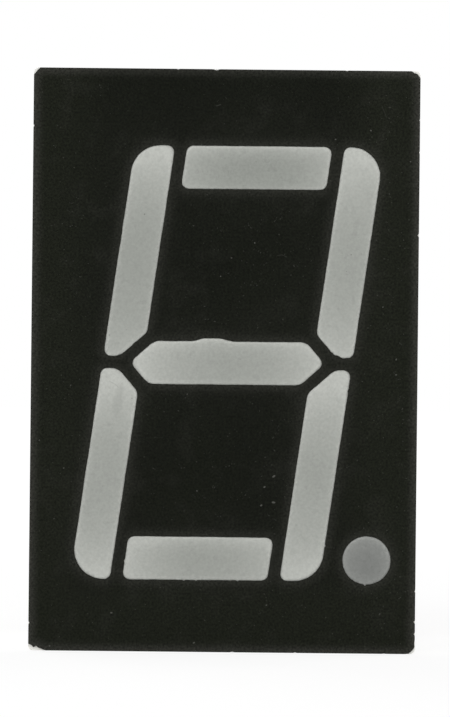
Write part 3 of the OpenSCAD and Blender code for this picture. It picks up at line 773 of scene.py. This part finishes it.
def ink_finish():
    """Matt black print: faintly greenish, with painted glare that pales it at the sides, the bottom and its
    borders, smudges, and specks of dust.
    """
    # The deep black, the lighter black of the painted glare at the sides and bottom, the pale of the painted
    # glare at the borders, which the real smudges share, and the dust's colour
    deep, glare_and_dust = (0.0044, 0.0053, 0.0031, 1), (0.0082, 0.0097, 0.0058, 1)
    pale, dusty = (0.0300, 0.0303, 0.0255, 1), (0.2, 0.2, 0.18, 1)
    ink = Finish("black_ink", deep, Roughness=0.6, Specular_IOR_Level=0.06)
    cloud = ink.spread(ink.noise(0.35, 4), 0.35, 0.7, 0.0, 0.35)
    # Painted glare: a lighter black at the sides and the bottom, with random clouds of tone
    color = ink.mix(ink.math("ADD", ink.attribute("glare_and_dust"), cloud), deep, glare_and_dust)
    # Painted glare: paler along the face's edge and round the openings, with the real smears
    color = ink.mix(ink.attribute("thin"), color, pale)
    smudge = ink.spread(ink.noise(1.1, 6), 0.53, 0.74, 0.0, 0.18)
    color = ink.mix(smudge, color, pale)
    grain = ink.spread(ink.noise(14, 3), 0.33, 0.67, 0.57, 1.5)
    color = ink.mix(1.0, color, grain, "MULTIPLY")
    nearest, lot = ink.cells(6.5)
    powder = ink.spread(nearest, 0.04, 0.12, 1.0, 0.0)
    powder = ink.math("MULTIPLY", powder, ink.spread(lot, 0.4, 0.9, 0.0, 0.18))
    powder = ink.math("MULTIPLY", powder, ink.spread(ink.attribute("glare_and_dust"), 0.0, 1.0, 1.0, 1.8))
    color = ink.mix(ink.math("ADD", ink.attribute("spot"), powder), color, dusty)
    ink.feed("Base Color", color)
    ink.feed("Roughness", ink.spread(ink.noise(3, 4), 0.3, 0.7, 0.5, 0.7))
    ink.feed("Normal", ink.bump(ink.noise(14, 3), 0.004, 0.6))
    return ink.material


def resin_finish(name, middle, bright):
    """Grey diffusing resin, brighter where the white well walls light it, with fine grain."""
    resin = Finish(name, middle, Roughness=0.3, Specular_IOR_Level=0.35)
    dark = tuple(0.35 * c for c in middle[:3]) + (1.0,)
    color = resin.mix(resin.attribute("glow"), middle, bright)
    grain = resin.spread(resin.noise(13, 3), 0.25, 0.75, 0.91, 1.09)
    color = resin.mix(1.0, color, grain, "MULTIPLY")
    nearest, _ = resin.cells(2.2)
    fleck = resin.spread(nearest, 0.015, 0.05, 0.4, 0.0)
    color = resin.mix(fleck, color, dark)
    color = resin.mix(resin.attribute("spot"), color, dark)
    resin.feed("Base Color", color)
    resin.feed("Roughness", resin.spread(resin.noise(2.5, 4), 0.3, 0.7, 0.24, 0.38))
    resin.feed("Normal", resin.bump(resin.noise(7, 3), 0.002, 0.4))
    return resin.material


INK_CREEP = 0.16  # how far the ink creeps round the face's edge onto the sides, at most


def plastic_finish():
    """White moulded plastic with a fine sparked texture, and ink that crept over its front edge."""
    white, warm, ink = from_srgb(246, 246, 242), from_srgb(237, 235, 228), (0.01, 0.011, 0.009, 1)
    plastic = Finish("white_plastic", white, Roughness=0.42, Specular_IOR_Level=0.45)
    low, _ = box_mm("reflector_housing")
    reach = plastic.math("SUBTRACT", plastic.along("Y"), low.y)
    # 0 in the front plane, where the plastic that shows at the chipped corners is clean, and 1 behind it
    beside_face = plastic.spread(reach, 0.002, 0.01)
    color = plastic.mix(plastic.spread(plastic.noise(0.25, 5), 0.42, 0.75), white, warm)
    soot = plastic.math("MULTIPLY", plastic.spread(plastic.noise(1.1, 6), 0.6, 0.8, 0.0, 0.12), beside_face)
    color = plastic.mix(soot, color, from_srgb(150, 148, 138))
    creep = plastic.spread(plastic.noise(1.6, 6), 0.35, 0.75, 0.0, INK_CREEP)
    inked = plastic.spread(plastic.math("SUBTRACT", reach, creep), -0.03, 0.02, 0.92, 0.0)
    color = plastic.mix(plastic.math("MULTIPLY", inked, beside_face), color, ink)
    plastic.feed("Base Color", color)
    plastic.feed("Roughness", plastic.spread(plastic.noise(4, 4), 0.3, 0.7, 0.36, 0.52))
    waves = plastic.bump(plastic.noise(0.3, 2), 0.05, 0.5)
    plastic.feed("Normal", plastic.bump(plastic.noise(9, 4), 0.008, 0.5, waves))
    return plastic.material


def clear_finish():
    """Clear potting resin, faintly yellow, with a few small bubbles."""
    clear = Finish(
        "clear_resin", (0.93, 0.9, 0.8, 1), Roughness=0.1, Transmission_Weight=0.9, IOR=1.5)
    clear.feed("Roughness", clear.spread(clear.noise(0.8, 4), 0.35, 0.7, 0.05, 0.22))
    bubbles, _ = clear.cells(0.55)
    dimples = clear.bump(clear.spread(bubbles, 0.04, 0.1), 0.04, 0.6)
    clear.feed("Normal", clear.bump(clear.noise(0.7, 3), 0.04, 0.5, dimples))
    return clear.material


def board_finish():
    """Tan woven glass laminate under a thin lacquer."""
    tan, brown = (0.56, 0.42, 0.2, 1), (0.42, 0.3, 0.13, 1)
    board = Finish("board_laminate", tan, Roughness=0.5)
    threads = {"Vector": board.place, "Scale": 1.5, "Distortion": 1.2}
    weave_x, weave_z = (board.add("ShaderNodeTexWave", threads, bands_direction=way) for way in "XZ")
    weave = board.math("MULTIPLY", weave_x, weave_z)
    color = board.mix(board.spread(weave, 0.0, 1.0, 0.0, 0.45), tan, brown)
    board.feed("Base Color", board.mix(board.spread(board.noise(0.6, 5), 0.4, 0.7, 0.0, 0.4), color, brown))
    board.feed("Normal", board.bump(weave, 0.01, 0.5))
    return board.material


def metal_finish(name, color, tarnish, roughness):
    """Bare metal with patches of tarnish and fine lines along Y."""
    metal = Finish(name, color, Metallic=1.0, Roughness=roughness)
    patches = metal.spread(metal.noise(1.6, 5), 0.42, 0.72, 0.0, 0.7)
    metal.feed("Base Color", metal.mix(patches, color, tarnish))
    lines = metal.noise(6, 3, (1, 0.12, 1))
    metal.feed("Roughness", metal.spread(lines, 0.3, 0.7, roughness - 0.08, roughness + 0.14))
    metal.feed("Normal", metal.bump(lines, 0.006, 0.5))
    return metal.material


def chip_finish():
    """Sawn semiconductor, with a slightly rough side."""
    chip = Finish("semiconductor", (0.12, 0.09, 0.05, 1), Roughness=0.35)
    chip.feed("Base Color", chip.mix(chip.noise(9, 4), (0.09, 0.07, 0.04, 1), (0.2, 0.15, 0.08, 1)))
    chip.feed("Normal", chip.bump(chip.noise(20, 3), 0.004, 0.5))
    return chip.material


def adhesive_finish():
    """Silver-loaded adhesive."""
    glue = Finish("silver_adhesive", (0.5, 0.49, 0.46, 1), Metallic=0.7, Roughness=0.5)
    glue.feed("Base Color", glue.mix(glue.noise(14, 4), (0.36, 0.35, 0.33, 1), (0.62, 0.61, 0.58, 1)))
    glue.feed("Normal", glue.bump(glue.noise(16, 4), 0.008, 0.6))
    return glue.material


# The resin's colour where no light comes back from the walls, and where it is brightest
RESIN_MIDDLE = from_srgb(143, 146, 140)
RESIN_BRIGHT = from_srgb(188, 190, 184)
DOT_MIDDLE = from_srgb(125, 127, 124)
DOT_BRIGHT = from_srgb(158, 160, 156)

FINISHES = {
    "white_plastic": plastic_finish(),
    "black_ink": ink_finish(),
    "grey_resin": resin_finish("grey_resin", RESIN_MIDDLE, RESIN_BRIGHT),
    "clear_resin": clear_finish(),
    "board_laminate": board_finish(),
    "copper": metal_finish("copper", (0.85, 0.46, 0.27, 1), (0.6, 0.3, 0.16, 1), 0.5),
    "silver_adhesive": adhesive_finish(),
    "semiconductor": chip_finish(),
    "gold": metal_finish("gold", (0.95, 0.68, 0.28, 1), (0.85, 0.58, 0.22, 1), 0.2),
    "tinned_metal": metal_finish("tinned_metal", (0.56, 0.56, 0.55, 1), (0.34, 0.33, 0.31, 1), 0.3),
    "solder": metal_finish("solder", (0.62, 0.62, 0.62, 1), (0.36, 0.36, 0.36, 1), 0.34)}
DOT_FINISH = resin_finish("grey_resin_dot", DOT_MIDDLE, DOT_BRIGHT)


def paint(piece, finish):
    """Gives a piece one finish all over."""
    piece.data.materials.clear()
    piece.data.materials.append(finish)


paint(printed_face(), FINISHES["black_ink"])
for fill in FILLS:
    paint(resin_piece(fill), FINISHES["grey_resin"] if fill in BARS else DOT_FINISH)
paint(potting_piece(), FINISHES["clear_resin"])
for pin in PINS:
    paint(pin_piece(pin), FINISHES["tinned_metal"])
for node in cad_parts.values():
    for row in node.material_slots:
        row.material = FINISHES[row.material.name]

# ---- Floor, light and camera ----

WHITE = (1, 1, 1, 1)
SEEN_AS_WHITE = 0.8  # share of the floor that shows as plain white; the rest takes light and shadow
SHADOW_ROOM = (40, 130)  # distances from the object's middle between which that share rises to all of it
FLOOR_GLOW = 1.035  # strength of that white, which makes up for the rest being a little darker
FLOOR_HALF = 600  # half the floor's side
WORLD_LEVEL = 0.42  # how brightly the room lights the object from all round
# Lamps: name, place, side, level
LAMPS = [
    ("key_lamp", (-150, -260, 210), 220, 0.35), ("fill_lamp", (240, -200, 120), 240, 0.19),
    ("back_lamp", (-190, 240, 200), 240, 0.27), ("side_lamp", (260, 180, 160), 220, 0.2)]


def white_to_the_eye(tree):
    """1 for a ray that shows the background to the camera, straight or through gloss or glass."""
    path = tree.nodes.new("ShaderNodeLightPath")
    total = path.outputs["Is Camera Ray"]
    for ray in ("Is Glossy Ray", "Is Transmission Ray"):
        total = add_node(tree, "ShaderNodeMath", {0: total, 1: path.outputs[ray]}, operation="MAXIMUM")
    return total


def pale_floor():
    """A plain white floor under the object, which keeps its shadow."""
    mesh = bpy.data.meshes.new("floor")
    reach, z = FLOOR_HALF * MM, cad_bounds[0].z
    corners = [(-reach, -reach, z), (reach, -reach, z), (reach, reach, z), (-reach, reach, z)]
    mesh.from_pydata(corners, [], [(0, 1, 2, 3)])
    material = bpy.data.materials.new("floor")
    material.use_nodes = True
    tree = material.node_tree
    tree.nodes.clear()
    place = add_node(tree, "ShaderNodeTexCoord", output="Object")
    distance = add_node(tree, "ShaderNodeVectorMath", {0: place}, "Value", operation="LENGTH")
    plain = map_range(tree, distance, SHADOW_ROOM[0] * MM, SHADOW_ROOM[1] * MM, SEEN_AS_WHITE, 1.0)
    share = add_node(tree, "ShaderNodeMath", {0: white_to_the_eye(tree), 1: plain}, operation="MULTIPLY")
    lit = add_node(tree, "ShaderNodeBsdfDiffuse", {"Color": WHITE})
    glow = add_node(tree, "ShaderNodeEmission", {"Color": WHITE, "Strength": FLOOR_GLOW})
    surface = add_node(tree, "ShaderNodeMixShader", {0: share, 1: lit, 2: glow})
    output = tree.nodes.new("ShaderNodeOutputMaterial")
    tree.links.new(surface, output.inputs["Surface"])
    mesh.materials.append(material)
    floor = bpy.data.objects.new("floor", mesh)
    bpy.context.scene.collection.objects.link(floor)


def pale_world():
    """Even light from all round, and a white backdrop."""
    world = bpy.data.worlds.new("world")
    world.use_nodes = True
    tree = world.node_tree
    light = tree.nodes["Background"]
    light.inputs["Color"].default_value = WHITE
    light.inputs["Strength"].default_value = WORLD_LEVEL
    seen = add_node(tree, "ShaderNodeBackground", {"Color": WHITE, "Strength": 1})
    surface = add_node(tree, "ShaderNodeMixShader", {0: white_to_the_eye(tree), 1: light.outputs[0], 2: seen})
    tree.links.new(surface, tree.nodes["World Output"].inputs["Surface"])
    bpy.context.scene.world = world


def soft_lamp(name, place, side, level):
    """A square lamp aimed at the object; level is how brightly it lights a white surface that faces it."""
    data = bpy.data.lights.new(name, "AREA")
    data.size = side * MM
    spot = Vector(place) * MM
    data.energy = level * math.pi ** 2 * spot.length ** 2
    lamp = bpy.data.objects.new(name, data)
    lamp.location = spot
    lamp.rotation_euler = (-spot).to_track_quat("-Z", "Y").to_euler()
    bpy.context.scene.collection.objects.link(lamp)


pale_floor()
pale_world()
for lamp_name, lamp_place, lamp_side, lamp_level in LAMPS:
    soft_lamp(lamp_name, lamp_place, lamp_side, lamp_level)

LENS = 200  # focal length
SENSOR = 36  # length of the sensor's side that spans the view's height
VIEW_HEIGHT = 23.365  # height of the view in the plane of the face
AIM_RIGHT = 0.020  # how far the view's middle lies right of the face's middle
AIM_UP = 0.074  # and how far above it
ROLL = -0.59  # degrees; the display leans a little clockwise in the view
NEAR = 5  # nearest and farthest that the camera sees
FAR = 5000

face_low, face_high = box_mm("face_print")
face_middle = (face_low + face_high) / 2
camera_data = bpy.data.cameras.new("camera")
camera_data.lens = LENS
camera_data.sensor_width = SENSOR
camera_data.clip_start = NEAR * MM
camera_data.clip_end = FAR * MM
camera = bpy.data.objects.new("camera", camera_data)
camera.location = Vector((
    face_middle.x + AIM_RIGHT, face_low.y - VIEW_HEIGHT * LENS / SENSOR, face_middle.z + AIM_UP)) * MM
camera.rotation_euler = (math.radians(90), math.radians(ROLL), 0)
bpy.context.scene.collection.objects.link(camera)
bpy.context.scene.camera = camera
bpy.context.scene.view_settings.view_transform = "Standard"
